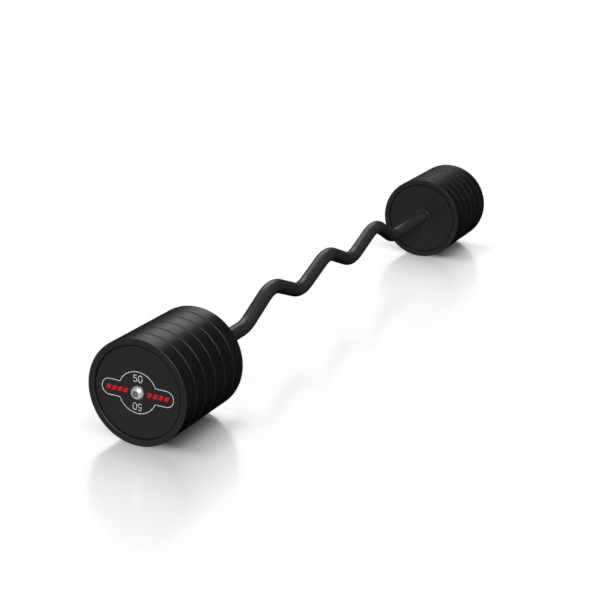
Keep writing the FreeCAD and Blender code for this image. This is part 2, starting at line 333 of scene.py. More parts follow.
def add_piece(name, points, faces, material, body, replaced=None, edge=None):
    """Makes one closed, smooth-shaded piece that faces outwards, rides on a body and may stand for a node."""
    inside = volume(points, faces)
    if abs(inside) < LEAST_VOLUME:
        raise RuntimeError(f"{name} has no volume")
    if inside < 0:
        faces = [part[:, ::-1] for part in faces]
    mesh = bpy.data.meshes.new(name)
    mesh.from_pydata(points.tolist(), [], [face for part in faces for face in part.tolist()])
    if mesh.validate():
        raise RuntimeError(f"{name} has faulty faces")
    mesh.shade_smooth()
    mesh.set_sharp_from_angle(angle=SHARP_ANGLE)
    if edge is not None:
        values = np.zeros(len(points), np.float32)
        values[:len(edge)] = edge
        mesh.attributes.new("edge", "FLOAT", "POINT").data.foreach_set("value", values)
    mesh.materials.append(material)
    piece = bpy.data.objects.new(name, mesh)
    bpy.context.scene.collection.objects.link(piece)
    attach(piece, body)
    if replaced:
        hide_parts(replaced)


def add_pair(ending, points, faces, material, body, replaced, edge):
    """Makes the same piece on both heads. The word {side} in the body's name becomes left or right."""
    for name, side in SIDES.items():
        add_piece(f"{name}_{ending}", placed(points, side), faces, material, body.format(side=name),
                  f"{name}_{replaced}", edge)


# Finishes

GROUPS = {}
# Dark tint, and how much of it the mask gives: painted shade in a bolt's socket, and dirt along a washer's
# rounded edges
SHADE_AND_DIRT = (0.16, 0.155, 0.15)
SHADE_AND_DIRT_COVER = 0.75
RUST = (0.075, 0.045, 0.03)
RING_STREAK = 0.05
# The values of a grain's slow clouds between which they change a tint, an ink, the gloss and the rust
TINT_CLOUDS = (0.35, 0.7)
INK_CLOUDS = (0.35, 0.75)
GLOSS_CLOUDS = (0.3, 0.7)
RUST_CLOUDS = (0.5, 0.72)
# The values of the handling patches between which edges wear, and between which scratches come in
WORN_PATCHES = (0.46, 0.66)
SCRATCHED_PATCHES = (0.58, 0.70)
SCRATCH_CELLS = 60.0
SCRATCH_WIDTH = 0.02
WARP_SCALE = 30.0
WARP_REACH = 12 * MM


def set_inputs(tree, inputs, values):
    """Links or sets inputs by name or number. A colour gets its fourth value here."""
    for key, value in values.items():
        if isinstance(value, bpy.types.NodeSocket):
            tree.links.new(value, inputs[key])
        elif inputs[key].type == "RGBA":
            inputs[key].default_value = (*value, 1)
        else:
            inputs[key].default_value = value


def put(tree, kind, values=None, **settings):
    """Adds a node: settings are its own properties, and values fill or link its inputs by name or number."""
    item = tree.nodes.new(kind)
    for key, value in settings.items():
        setattr(item, key, value)
    set_inputs(tree, item.inputs, values or {})
    return item


def math_node(tree, operation, first, second=0.0):
    """Result of one sum on two values."""
    return put(tree, "ShaderNodeMath", {0: first, 1: second}, operation=operation).outputs[0]


def plus(tree, first, second):
    """Sum of two values."""
    return math_node(tree, "ADD", first, second)


def minus(tree, first, second):
    """Difference of two values."""
    return math_node(tree, "SUBTRACT", first, second)


def times(tree, first, second):
    """Product of two values."""
    return math_node(tree, "MULTIPLY", first, second)


def plus_part(tree, base, other, amount):
    """A value plus some of another."""
    return plus(tree, base, times(tree, other, amount))


def larger(tree, first, *others):
    """The largest of several values."""
    for other in others:
        first = math_node(tree, "MAXIMUM", first, other)
    return first


def slanting(tree, first, second):
    """Long side of a right-angled triangle: the root of the sum of the other two sides' squares."""
    return math_node(tree, "SQRT", plus(tree, times(tree, first, first), times(tree, second, second)))


def vector_node(tree, operation, values):
    """Result of one sum on vectors."""
    return put(tree, "ShaderNodeVectorMath", values, operation=operation).outputs[0]


def spread(tree, value, low, high, start=0.0, end=1.0, smooth=False):
    """A value between start and end carried over to the range from low to high."""
    kind = "SMOOTHSTEP" if smooth else "LINEAR"
    values = {"Value": value, "From Min": start, "From Max": end, "To Min": low, "To Max": high}
    return put(tree, "ShaderNodeMapRange", values, interpolation_type=kind).outputs["Result"]


def blended(tree, mask, first, second):
    """Colour that goes from the first to the second with the mask."""
    return put(tree, "ShaderNodeMix", {0: mask, 6: first, 7: second}, data_type="RGBA").outputs[2]


def noise_node(tree, place, scale, detail):
    """Smooth noise in space, as a value and as a colour."""
    return put(tree, "ShaderNodeTexNoise", {"Vector": place, "Scale": scale, "Detail": detail}).outputs


def new_group(name, inputs, outputs):
    """An empty shader group with named number sockets, and its two ends."""
    group = bpy.data.node_groups.new(name, "ShaderNodeTree")
    for labels, end in ((inputs, "INPUT"), (outputs, "OUTPUT")):
        for label in labels:
            group.interface.new_socket(label, in_out=end, socket_type="NodeSocketFloat")
    GROUPS[name] = group
    return group, put(group, "NodeGroupInput").outputs, put(group, "NodeGroupOutput").inputs


def make_grain():
    """Fine grain: small cells for bumps, and slow clouds that shift colour and gloss."""
    group, given, result = new_group("Fine grain", ("Scale", "Cloud Scale"), ("Height", "Cloud"))
    place = put(group, "ShaderNodeTexCoord").outputs["Object"]
    fine = noise_node(group, place, given["Scale"], detail=3.0)
    slow = noise_node(group, place, given["Cloud Scale"], detail=4.0)
    set_inputs(group, result, {"Height": fine[0], "Cloud": slow[0]})


def make_handling():
    """Handling marks: patches along the worn edges, and sparse thin scratches over the rest.

    The scratches are the borders of warped cells, inside the strongest patches only.
    """
    group, given, result = new_group("Handling marks", ("Edge", "Patch Scale", "Scratches"), ("Mask",))
    place = put(group, "ShaderNodeTexCoord").outputs["Object"]
    patch = noise_node(group, place, given["Patch Scale"], detail=5.0)[0]
    worn = spread(group, patch, 0.0, 1.0, *WORN_PATCHES, smooth=True)
    warp = noise_node(group, place, WARP_SCALE, detail=2.0)["Color"]
    bent = vector_node(group, "MULTIPLY", {0: warp, 1: (WARP_REACH,) * 3})
    values = {"Vector": vector_node(group, "ADD", {0: place, 1: bent}), "Scale": SCRATCH_CELLS}
    border = put(group, "ShaderNodeTexVoronoi", values, feature="DISTANCE_TO_EDGE").outputs["Distance"]
    thin = spread(group, border, 1.0, 0.0, 0.0, SCRATCH_WIDTH)
    rare = spread(group, patch, 0.0, 1.0, *SCRATCHED_PATCHES, smooth=True)
    lines = times(group, times(group, thin, rare), given["Scratches"])
    group.links.new(larger(group, times(group, worn, given["Edge"]), lines), result["Mask"])


def make_turning():
    """Turning marks: rings about the bar's axis, as noise over the way along it plus the distance from it."""
    group, given, result = new_group("Turning marks", ("Rings",), ("Height",))
    place = put(group, "ShaderNodeTexCoord").outputs["Object"]
    from_axis = vector_node(group, "SUBTRACT", {0: place, 1: (0, 0, AXIS_HEIGHT)})
    parts = put(group, "ShaderNodeSeparateXYZ", {0: from_axis}).outputs
    both = plus(group, slanting(group, parts["Y"], parts["Z"]), parts["X"])
    values = {"W": times(group, both, given["Rings"]), "Scale": 1.0, "Detail": 3.0}
    noise = put(group, "ShaderNodeTexNoise", values, noise_dimensions="1D")
    group.links.new(noise.outputs[0], result["Height"])


def group_node(tree, name, **values):
    """Places a shared group in a material, with its own values."""
    values = {key.replace("_", " "): value for key, value in values.items()}
    return put(tree, "ShaderNodeGroup", values, node_tree=GROUPS[name]).outputs


def empty_tree(owner):
    """The node tree of a material or a world, with nothing in it."""
    owner.use_nodes = True
    owner.node_tree.nodes.clear()
    return owner.node_tree


def new_material(name):
    """An empty material with a Principled shader linked to its output."""
    material = bpy.data.materials.new(name)
    tree = empty_tree(material)
    shader = put(tree, "ShaderNodeBsdfPrincipled")
    put(tree, "ShaderNodeOutputMaterial", {"Surface": shader.outputs[0]})
    return material, tree, shader.inputs


def edge_mask(tree):
    """The piece's own mask: its rounded edges, and on a bolt its socket, where the steel gets painted shade.
    """
    return put(tree, "ShaderNodeAttribute", attribute_name="edge").outputs["Fac"]


def bump(tree, height, strength, distance):
    """Normal bent by a height."""
    values = {"Height": height, "Strength": strength, "Distance": distance}
    return put(tree, "ShaderNodeBump", values).outputs["Normal"]


def cloudy_tint(tree, grain, marks, clouds, wear):
    """Mask of a finish's second tint: its slow clouds, and more of it where handling marks it."""
    return plus_part(tree, spread(tree, grain["Cloud"], 0.0, clouds, *TINT_CLOUDS), marks, wear)


def cloudy_gloss(tree, grain, roughness, below, above):
    """Roughness that drifts with the slow clouds, a little below and above its level."""
    return spread(tree, grain["Cloud"], roughness - below, roughness + above, *GLOSS_CLOUDS)


def scaled(tint, factor):
    """A colour made darker or brighter."""
    return tuple(factor * value for value in tint)


def rubber_finish(settings):
    """Moulded black rubber: fine grain, faint turned rings, cloudy gloss, and greyed, duller edges."""
    material, tree, shader = new_material("jacket rubber")
    grain = group_node(tree, "Fine grain", Scale=1500.0, Cloud_Scale=14.0)
    rings = group_node(tree, "Turning marks", Rings=300.0)["Height"]
    edges = edge_mask(tree)
    marks = group_node(tree, "Handling marks", Edge=edges, Patch_Scale=55.0, Scratches=0.25)["Mask"]
    tint = cloudy_tint(tree, grain, marks, clouds=0.35, wear=0.3)
    gloss = cloudy_gloss(tree, grain, settings.roughness, below=0.05, above=0.05)
    streaked = plus(tree, gloss, spread(tree, rings, -RING_STREAK, RING_STREAK, *GLOSS_CLOUDS))
    height = plus_part(tree, grain["Height"], rings, amount=0.5)
    smoothed = times(tree, height, spread(tree, edges, low=1.0, high=0.15))
    set_inputs(tree, shader, {
        "Base Color": blended(tree, tint, settings.rubber, settings.scuffed),
        "Roughness": plus_part(tree, streaked, edges, amount=0.13),
        "Normal": bump(tree, smoothed, strength=0.07, distance=0.06 * MM),
        "Specular IOR Level": 0.35,
    })
    return material


def paint_finish(settings, name, tint):
    """Satin black paint on steel: a low orange peel, cloudy gloss, and a few rubbed edges."""
    material, tree, shader = new_material(name)
    grain = group_node(tree, "Fine grain", Scale=420.0, Cloud_Scale=22.0)
    marks = group_node(tree, "Handling marks", Edge=edge_mask(tree), Patch_Scale=70.0, Scratches=0.35)["Mask"]
    rubbed = cloudy_tint(tree, grain, marks, clouds=0.3, wear=0.4)
    gloss = cloudy_gloss(tree, grain, settings.roughness, below=0.05, above=0.07)
    set_inputs(tree, shader, {
        "Base Color": blended(tree, rubbed, tint, scaled(tint, factor=1.5)),
        "Roughness": plus_part(tree, gloss, marks, amount=0.06),
        "Normal": bump(tree, grain["Height"], strength=0.18, distance=0.05 * MM),
        "Specular IOR Level": 0.45,
    })
    return material


def iron_finish(settings):
    """Bare cast iron with turned faces: rings, a coarse grain, and dull brown patches."""
    material, tree, shader = new_material("core iron")
    grain = group_node(tree, "Fine grain", Scale=700.0, Cloud_Scale=60.0)
    rings = group_node(tree, "Turning marks", Rings=1600.0)["Height"]
    dull = spread(tree, grain["Cloud"], 0.0, 1.0, *RUST_CLOUDS, smooth=True)
    height = plus_part(tree, rings, grain["Height"], amount=0.6)
    set_inputs(tree, shader, {
        "Base Color": blended(tree, dull, settings.iron, RUST),
        "Roughness": spread(tree, dull, low=0.45, high=0.8),
        "Metallic": spread(tree, dull, low=0.9, high=0.35),
        "Normal": bump(tree, height, strength=0.4, distance=0.08 * MM),
    })
    return material


def steel_finish(settings, name, tint):
    """Plated steel: turned rings, cloudy gloss, scratches, painted shade darkening a bolt's socket, and dirt
    along a washer's rounded edges.
    """
    material, tree, shader = new_material(name)
    grain = group_node(tree, "Fine grain", Scale=2200.0, Cloud_Scale=130.0)
    rings = group_node(tree, "Turning marks", Rings=5200.0)["Height"]
    edges = edge_mask(tree)
    marks = group_node(tree, "Handling marks", Edge=edges, Patch_Scale=260.0, Scratches=0.5)["Mask"]
    shade = cloudy_tint(tree, grain, marks, clouds=0.4, wear=0.5)
    clean = blended(tree, shade, tint, scaled(tint, factor=0.72))
    # Painted shade: a bolt's socket mask darkens the steel's colour as if shade filled the hollow; a washer's
    # edge mask darkens its edges
    shade_and_dirt = times(tree, edges, SHADE_AND_DIRT_COVER)
    gloss = cloudy_gloss(tree, grain, settings.roughness, below=0.06, above=0.08)
    worn = plus_part(tree, gloss, marks, amount=0.12)
    height = plus_part(tree, rings, grain["Height"], amount=0.4)
    set_inputs(tree, shader, {
        "Base Color": blended(tree, shade_and_dirt, clean, SHADE_AND_DIRT),
        "Roughness": plus_part(tree, worn, shade_and_dirt, amount=0.2),
        "Normal": bump(tree, height, strength=0.15, distance=0.03 * MM),
        "Metallic": 1.0,
    })
    return material


def print_finish(name, tint, roughness, wear):
    """Printed film: a flat colour that thins in small clouds, under a faintly grained clear face."""
    material, tree, shader = new_material(name)
    grain = group_node(tree, "Fine grain", Scale=1800.0, Cloud_Scale=90.0)
    thin = spread(tree, grain["Cloud"], 0.0, 1.0, *INK_CLOUDS)
    set_inputs(tree, shader, {
        "Base Color": blended(tree, thin, tint, scaled(tint, wear)),
        "Roughness": cloudy_gloss(tree, grain, roughness, below=0.05, above=0.08),
        "Normal": bump(tree, grain["Height"], strength=0.12, distance=0.03 * MM),
        "Specular IOR Level": 0.35,
    })
    return material


# Pieces

RUN_STEP = 12 * MM
LEAST_RUN_STEPS = 2
BEND_STEP = math.radians(2)
LEAST_BEND_STEPS = 4
STRAIGHT_TURN = 1e-9
# Rings of a bolt's socket, as shares of its hexagon: the drill's point, the floor and the mouth
POINT_SHARE = 0.08
FLOOR_SHARE = 0.9
MOUTH_SHARE = 1.02
DOME_ROWS = 22
# A thread's depth, and its start below the bolt's head, as shares of its pitch, and its rings in one pitch
THREAD_DEPTH_SHARE = 0.6134
THREAD_START_SHARE = 1.6
THREAD_ROWS = 12
# A thread's zigzag is stretched by the gain and lowered by the loss, then cut flat at its crest and root
FLANK_GAIN = 1.6
FLANK_LOSS = 0.2
OUTLINE_STEPS = 24
# The five, as shares of a digit's size: its first three points, and its bowl's middle and half sizes
FIVE_LEAD_SHARES = ((0.44, 0.5), (-0.30, 0.5), (-0.47, 0.01))
BOWL_MIDDLE_SHARES = (-0.03, -0.19)
BOWL_SHARES = (0.53, 0.31)
BOWL_DEGREES = (112, -148)
BOWL_STEPS = 40
NOUGHT_STEPS = 64
NOUGHT_POWER = 2.5
MITRE_LIMIT = 1.5


def collar_outline(settings):
    """Outline of a shoulder collar: a plain ring with a chamfer on its open face."""
    radius, chamfer = settings.collar_radius, settings.collar_chamfer
    return rounded_outline([
        (COLLAR_START, settings.radius, 0), (COLLAR_START, radius - chamfer, settings.collar_round),
        (COLLAR_START + chamfer, radius, settings.collar_round), (COLLAR_END, radius, 0),
        (COLLAR_END, settings.radius, 0),
    ])


def jacket_outline(number, settings):
    """Outline of a plate's rubber: a ring round the core's pocket, with a rim and recess on a head's ends."""
    start, end = 0.0, PLATE_THICKNESS
    core_start, core_end = FACE_COVER, PLATE_THICKNESS - FACE_COVER
    inner = [(core_start, HUB_RADIUS, 0), (start, HUB_RADIUS, 0), (start, PLATE_RADIUS, settings.joint_round)]
    outer = [(end, PLATE_RADIUS, settings.joint_round), (end, HUB_RADIUS, 0), (core_end, HUB_RADIUS, 0)]
    pocket = [(core_end, CORE_RADIUS, 0), (core_start, CORE_RADIUS, 0)]
    rim = PLATE_RADIUS - settings.rim_width
    depth = settings.recess_depth
    groove = depth + settings.groove_depth
    foot = rim - settings.rim_draft
    edge = foot - settings.groove_width
    recess = [(depth, edge, 0), (groove, edge, 0), (groove, foot, 0), (depth, foot, 0),
              (0, rim, settings.rim_edge_round), (0, PLATE_RADIUS, settings.end_round)]
    if number == 1:
        inner = [(core_start, COLLAR_POCKET_RADIUS, 0), (depth, COLLAR_POCKET_RADIUS, 0), *recess]
    if number == PLATE_COUNT:
        hub_end = WASHER_SEAT - HEAD_START - (PLATE_COUNT - 1) * PLATE_THICKNESS
        outer = [
            *((end - x, r, radius) for x, r, radius in reversed(recess)), (end - depth, HEAD_WELL_RADIUS, 0),
            (hub_end, HEAD_WELL_RADIUS, 0), (hub_end, HUB_RADIUS, 0), (core_end, HUB_RADIUS, 0),
        ]
    return rounded_outline(inner + outer + pocket)


def bar_line(settings):
    """Points and directions along the bar's centre line, in the upright plane.

    The direction f(s) is level on straight runs and turns evenly on bends. The point is the integral of
    (cos f, sin f), which over a step of even turn is ds / df times the change of (sin f, -cos f).
    """
    rises = [(settings.run_end, 0), (settings.shoulder, settings.shoulder_rise),
             (settings.dip, settings.dip_rise)]
    bends = [(-x, z) for x, z in rises] + [(0, settings.crest_rise)] + [(x, z) for x, z in reversed(rises)]
    corners = np.array([(-BAR_END, 0), *bends, (BAR_END, 0)], float)
    runs = np.diff(corners, axis=0)
    headings = np.arctan2(runs[:, 1], runs[:, 0])
    turns = np.diff(headings)
    cuts = settings.bend_radius * np.tan(np.abs(turns) / 2)
    straights = np.linalg.norm(runs, axis=1) - np.append(cuts, 0) - np.insert(cuts, 0, 0)
    steps, directions = [], [headings[:1]]
    for index, straight in enumerate(straights):
        count = max(LEAST_RUN_STEPS, round(straight / RUN_STEP))
        steps.append(np.full(count, straight / count))
        directions.append(np.full(count, headings[index]))
        if index < len(turns):
            count = max(LEAST_BEND_STEPS, math.ceil(abs(turns[index]) / BEND_STEP))
            steps.append(np.full(count, settings.bend_radius * abs(turns[index]) / count))
            directions.append(np.linspace(headings[index], headings[index + 1], count + 1)[1:])
    step, direction = np.concatenate(steps), np.concatenate(directions)
    change = np.diff(direction)
    level = np.abs(change) < STRAIGHT_TURN
    ratio = step / np.where(level, 1, change)
    middle = direction[1:]
    along_x = np.where(level, step * np.cos(middle), ratio * np.diff(np.sin(direction)))
    along_z = np.where(level, step * np.sin(middle), -ratio * np.diff(np.cos(direction)))
    x = -BAR_END + np.concatenate([[0], np.cumsum(along_x)])
    z = np.concatenate([[0], np.cumsum(along_z)])
    return np.stack([x, z], -1), direction


def bar_rings(settings):
    """Rings of the bar: a circle square to the centre line, and stepped circles into each tapped end."""
    line, direction = bar_line(settings)
    radius, bore = settings.radius, settings.tap_radius
    depth = BAR_END - BOLT_TIP + settings.tap_spare
    ends = np.array([
        (-depth, bore), (-settings.tap_mouth, bore), (0, bore + settings.tap_mouth),
        (0, radius - settings.end_chamfer), (-settings.end_chamfer, radius),
    ])
    flat = np.zeros(len(ends))
    places = np.concatenate([
        np.stack([-BAR_END - ends[:, 0], flat], -1), line[1:-1],
        np.stack([BAR_END + ends[::-1, 0], flat], -1),
    ])
    radii = np.concatenate([ends[:, 1], np.full(len(line) - 2, radius), ends[::-1, 1]])[:, None]
    direction = np.concatenate([flat, direction[1:-1], flat])[:, None]
    angle = even_turn(settings.columns)
    rise = radii * np.cos(angle)
    return np.stack([
        places[:, :1] - rise * np.sin(direction), radii * np.sin(angle),
        places[:, 1:] + rise * np.cos(direction),
    ], -1)


def washer_rings(settings):
    """Sections of a split ring, from one face of its slanted cut round to the other, and a mask of its edges.

    A point (x, r) goes from the angle where y is slant times x plus half the cut, once round to minus half.
    """
    inner, outer = settings.washer_bore, settings.washer_bore + settings.washer_width
    corners = ((WASHER_SEAT, inner), (WASHER_SEAT, outer), (HEAD_SEAT, outer), (HEAD_SEAT, inner))
    section, mask = rounded_outline([(*corner, settings.washer_round) for corner in corners])
    x, r = section.T
    lean = math.tan(settings.split_slant) * (x - (WASHER_SEAT + HEAD_SEAT) / 2)
    half = settings.washer_split / math.cos(settings.split_slant) / 2
    first, last = np.arcsin((lean + half) / r), TURN + np.arcsin((lean - half) / r)
    angle = first + (last - first) * np.linspace(0, 1, settings.columns)[:, None]
    return round_axis(x, r, angle), np.tile(mask, settings.columns)


def socket_rows(settings, angle):
    """Rows (x, r) of a bolt's socket, from the drill's point to the mouth in the flat top.

    The hexagon is r = half flats / cos(angle from the nearest flat's middle), and the countersink is the cone
    in which it meets the top.
    """
    sixth = TURN / 6
    hexagon = settings.socket_flats / 2 / np.cos((angle + sixth / 2) % sixth - sixth / 2)
    mouth = MOUTH_SHARE * hexagon.max()
    floor = HEAD_TOP - settings.socket_depth
    countersink = HEAD_TOP - (mouth - hexagon) * math.tan(settings.countersink)
    return [
        (floor - settings.socket_point, POINT_SHARE * hexagon), (floor, FLOOR_SHARE * hexagon),
        (floor, hexagon), (floor + SUPPORT, hexagon), (countersink, hexagon), (HEAD_TOP, mouth),
    ]


def head_rows(settings):
    """Rows (x, r) of a bolt's head, from the flat top over the dome and the lip to the shank.

    The dome is part of a ball through the edges of the flat top and of the lip.
    """
    lip, radius, land = settings.head_lip, settings.head_radius, settings.land_radius
    height = HEAD_TOP - HEAD_SEAT
    centre = (land ** 2 + height ** 2 - radius ** 2 - lip ** 2) / (2 * (height - lip))
    ball = math.hypot(radius, lip - centre)
    tilts = np.linspace(math.atan2(land, height - centre), math.atan2(radius, lip - centre), DOME_ROWS)
    chamfer, neck, shank = settings.head_chamfer, settings.neck_chamfer, settings.thread_radius
    return [
        (HEAD_TOP, land - SUPPORT), *zip(HEAD_SEAT + centre + ball * np.cos(tilts), ball * np.sin(tilts)),
        (HEAD_SEAT + lip - SUPPORT, radius), (HEAD_SEAT + chamfer, radius), (HEAD_SEAT, radius - chamfer),
        (HEAD_SEAT, shank + neck), (HEAD_SEAT - neck, shank), (HEAD_SEAT - settings.pitch, shank),
    ]


def thread_rows(settings, angle):
    """Rows (x, r) of a bolt's thread, which fades in below the shank and ends in the tip's chamfer.

    It is r = outer radius minus depth times a wave of x / pitch minus angle / turn.
    """
    outer, pitch, chamfer = settings.thread_radius, settings.pitch, settings.tip_chamfer
    depth = THREAD_DEPTH_SHARE * pitch
    start, end = HEAD_SEAT - THREAD_START_SHARE * pitch, BOLT_TIP + chamfer / 2
    stations = np.linspace(start, end, round((start - end) / pitch * THREAD_ROWS))[:, None]
    fade = np.clip((start - stations) / pitch, 0, 1)
    phase = (stations / pitch - angle / TURN) % 1
    wave = np.clip(np.abs(2 * phase - 1) * FLANK_GAIN - FLANK_LOSS, 0, 1)
    cone = outer - chamfer + np.maximum(stations - BOLT_TIP, 0)
    radii = np.minimum(outer - depth * wave * fade, cone)
    return [*zip(stations, radii), (BOLT_TIP, outer - chamfer - depth / 2)]


def bolt_rings(settings):
    """Rings of a button-head bolt, from its socket over the head to the tip, and a mask of the socket for its
    painted shade.
    """
    angle = even_turn(settings.columns)
    socket = socket_rows(settings, angle)
    rows = socket + head_rows(settings) + thread_rows(settings, angle)
    x, r = (np.stack([np.broadcast_to(row[part], angle.shape) for row in rows]) for part in (0, 1))
    in_socket = np.arange(len(rows)) < len(socket) - 1
    return round_axis(x, r, angle), np.repeat(in_socket, settings.columns)


def winged_outline(settings, inset):
    """Closed (u, w) outline of the badge, a disc on a round-ended bar, at an inset from its edge.

    It is worked out for one quarter and mirrored. A quarter is the arc of the bar's end, its straight edge up
    to the disc at u = sqrt(disc^2 - half_height^2), and the arc of the disc from there to the top.
    """
    sizes = (settings.disc_radius, settings.wing_half_height, settings.half_span)
    disc, half_height, half_span = (size - inset for size in sizes)
    count = OUTLINE_STEPS
    centre = half_span - half_height
    end = np.linspace(0, TURN / 4, count, endpoint=False)
    meeting = math.sqrt(disc ** 2 - half_height ** 2)
    straight = np.linspace(centre, meeting, count, endpoint=False)
    arc = np.linspace(math.asin(half_height / disc), TURN / 4, 2 * count)
    u = np.concatenate([centre + half_height * np.cos(end), straight, disc * np.cos(arc)])
    w = np.concatenate([half_height * np.sin(end), np.full(count, half_height), disc * np.sin(arc)])
    top_u, top_w = np.concatenate([u, -u[-2:0:-1]]), np.concatenate([w, w[-2:0:-1]])
    return np.stack([np.concatenate([top_u, -top_u]), np.concatenate([top_w, -top_w])], -1)


def on_face(outline, x):
    """Flat (u, w) points on the end face at x: u runs to the right as seen from outside."""
    return np.concatenate([np.full((*outline.shape[:-1], 1), x), outline], -1)


def badge_rings(settings):
    """Rings of the badge's film: round its hole, over its face, round its edge and back."""
    chamfer = settings.film_chamfer
    outside, inset = winged_outline(settings, 0), winged_outline(settings, chamfer)
    bearing = np.arctan2(outside[:, 1], outside[:, 0])
    hole = settings.hole_radius * np.stack([np.cos(bearing), np.sin(bearing)], -1)
    return np.stack([
        on_face(hole, BADGE_FACE), on_face(hole, BADGE_TOP), on_face(inset, BADGE_TOP),
        on_face(outside, BADGE_TOP - chamfer), on_face(outside, BADGE_FACE),
    ])


def print_layer(settings):
    """The two heights between which a print lies: just inside the film's face, and above it."""
    return BADGE_TOP - settings.ink / 2, BADGE_TOP + settings.ink


def strip_skin(left, right, closed, settings):
    """A printed strip between two lines, as thick as the ink."""
    low, high = print_layer(settings)
    edges = [on_face(left, low), on_face(left, high), on_face(right, high), on_face(right, low)]
    return skin(np.stack(edges, 1), closed)


def border_skin(settings):
    """Pale line along the badge's edge: the strip between the badge's outline at two insets."""
    inset = settings.border_inset
    outer, inner = winged_outline(settings, inset), winged_outline(settings, inset + settings.stroke)
    return strip_skin(outer, inner, True, settings)


def stroke_skin(path, width, closed, settings):
    """A flat stroke: a rectangle carried along a path.

    At each point it is mitred by (n1 + n2) / (1 + n1 . n2), and blunt where that is longer than the limit.
    """
    ahead = np.roll(path, -1, 0) - path
    if not closed:
        ahead[-1] = ahead[-2]
    ahead /= np.linalg.norm(ahead, axis=1)[:, None]
    normal = np.stack([-ahead[:, 1], ahead[:, 0]], -1)
    before = np.roll(normal, 1, 0)
    if not closed:
        before[0] = normal[0]
    mitre = (normal + before) / (1 + np.sum(normal * before, -1))[:, None]
    mitre /= np.maximum(np.linalg.norm(mitre, axis=1) / MITRE_LIMIT, 1)[:, None]
    return strip_skin(path + mitre * width / 2, path - mitre * width / 2, closed, settings)


def five_path(width, height):
    """A five: flat top, leaning upright, and a bowl that is most of an ellipse."""
    turn = np.radians(np.linspace(*BOWL_DEGREES, BOWL_STEPS))
    bowl = np.stack([np.cos(turn), np.sin(turn)], -1) * BOWL_SHARES + BOWL_MIDDLE_SHARES
    return np.concatenate([FIVE_LEAD_SHARES, bowl]) * (width, height)


def nought_path(width, height):
    """A nought: a superellipse."""
    turn = even_turn(NOUGHT_STEPS)
    circle = np.stack([np.cos(turn), np.sin(turn)], -1)
    return np.sign(circle) * np.abs(circle) ** (2 / NOUGHT_POWER) * (width / 2, height / 2)


def number_skins(settings):
    """The number fifty twice: upright over the bolt, and turned half round below it."""
    stroke = settings.number_stroke
    width, height = settings.number_width - stroke, settings.number_height - stroke
    offset = (settings.number_width + settings.number_gap) / 2
    skins = []
    for turn in (1, -1):
        for path, place, closed in ((five_path, -offset, False), (nought_path, offset, True)):
            points = (path(width, height) + (place, settings.number_place)) * turn
            skins.append(stroke_skin(points, stroke, closed, settings))
    return joined(skins)


def dash_skins(settings):
    """Leaning red dashes along both wings: flat four-sided prisms at an even step."""
    low, high = print_layer(settings)
    step = (settings.dash_end - settings.dash_start + settings.dash_gap) / settings.dash_count
    half, top = (step - settings.dash_gap) / 2, settings.dash_height / 2
    lean = top * math.tan(settings.dash_slant)
    shape = np.array([(-half - lean, -top), (half - lean, -top), (half + lean, top), (-half + lean, top)])
    first = settings.dash_start + half
    skins = []
    for wing in (-1, 1):
        for number in range(settings.dash_count):
            outline = shape + (wing * (first + number * step), 0)
            skins.append(skin(np.stack([on_face(outline, low), on_face(outline, high)]), False))
    return joined(skins)


# Stage

WHITE = (1, 1, 1)
BLACK = (0, 0, 0)
HAZE_GAP = 0.5 * MM
# The close shadow grows from this far outside a head's ends to this far inside them
CLOSE_SPAN = (-12 * MM, 45 * MM)
# It is full where the first share of the sky or less is open, and isn't deepened from the second share on
CLOSE_DEEP = (0.15, 0.5)
OPEN_GLOW = 1.04
# Parts of the studio that shiny surfaces see: the directions between which each one grows, and its level
BACKDROP_RISE = (0.04, 0.42)
BACKDROP_SIDE = (-0.28, 0.12)
BACKDROP_LEVEL = 0.12
END_SIDE = (0.25, -0.35)
END_LEVEL = 0.48
NEAR_SIDE = (-0.1, -0.7)
NEAR_LEVEL = 0.05
HORIZON = (-0.05, 0.05)


def mixed(tree, part, first, second):
    """Two shaders mixed: the part is that of the second."""
    return put(tree, "ShaderNodeMixShader", {0: part, 1: first, 2: second}).outputs[0]


def white_light(tree, strength):
    """White light that a surface or a haze gives off by itself."""
    return put(tree, "ShaderNodeEmission", {"Color": WHITE, "Strength": strength}).outputs[0]


def floor_mirror(tree, place, settings):
    """Sharp mirror blurred by random tilts, so that the world and the haze can tell its rays from others.

    A tilt is half the blur at most to each side, times a random share, which keeps most tilts small.
    """
    noise = put(tree, "ShaderNodeTexWhiteNoise", {"Vector": place}, noise_dimensions="3D").outputs["Color"]
    centred = vector_node(tree, "SUBTRACT", {0: noise, 1: (0.5,) * 3})
    level = vector_node(tree, "MULTIPLY", {0: centred, 1: (settings.blur, settings.blur, 0)})
    random_share = put(tree, "ShaderNodeSeparateColor", {0: noise}).outputs["Blue"]
    tilt = vector_node(tree, "SCALE", {0: level, "Scale": random_share})
    normal = vector_node(tree, "NORMALIZE", {0: vector_node(tree, "ADD", {0: tilt, 1: (0, 0, 1)})})
    values = {"Color": WHITE, "Roughness": 0.0, "Normal": normal}
    return put(tree, "ShaderNodeBsdfAnisotropic", values).outputs[0]


def floor_glow(tree, along, settings):
    """Glow of the floor, dimmed close under the heads by as much of the sky as they hide there.

    The dimming fades out at the heads' ends, and it deepens where a plate touches the floor.
    """
    to_end = math_node(tree, "MINIMUM", minus(tree, along, HEAD_START), minus(tree, HEAD_END, along))
    under = spread(tree, to_end, 0.0, 1.0, *CLOSE_SPAN, smooth=True)
    sky = put(tree, "ShaderNodeAmbientOcclusion", {"Distance": settings.close_reach}).outputs["AO"]
    deepened = times(tree, sky, spread(tree, sky, 0.0, 1.0, *CLOSE_DEEP, smooth=True))
    hidden = times(tree, minus(tree, 1.0, deepened), under)
    return white_light(tree, spread(tree, hidden, OPEN_GLOW, 0.0))


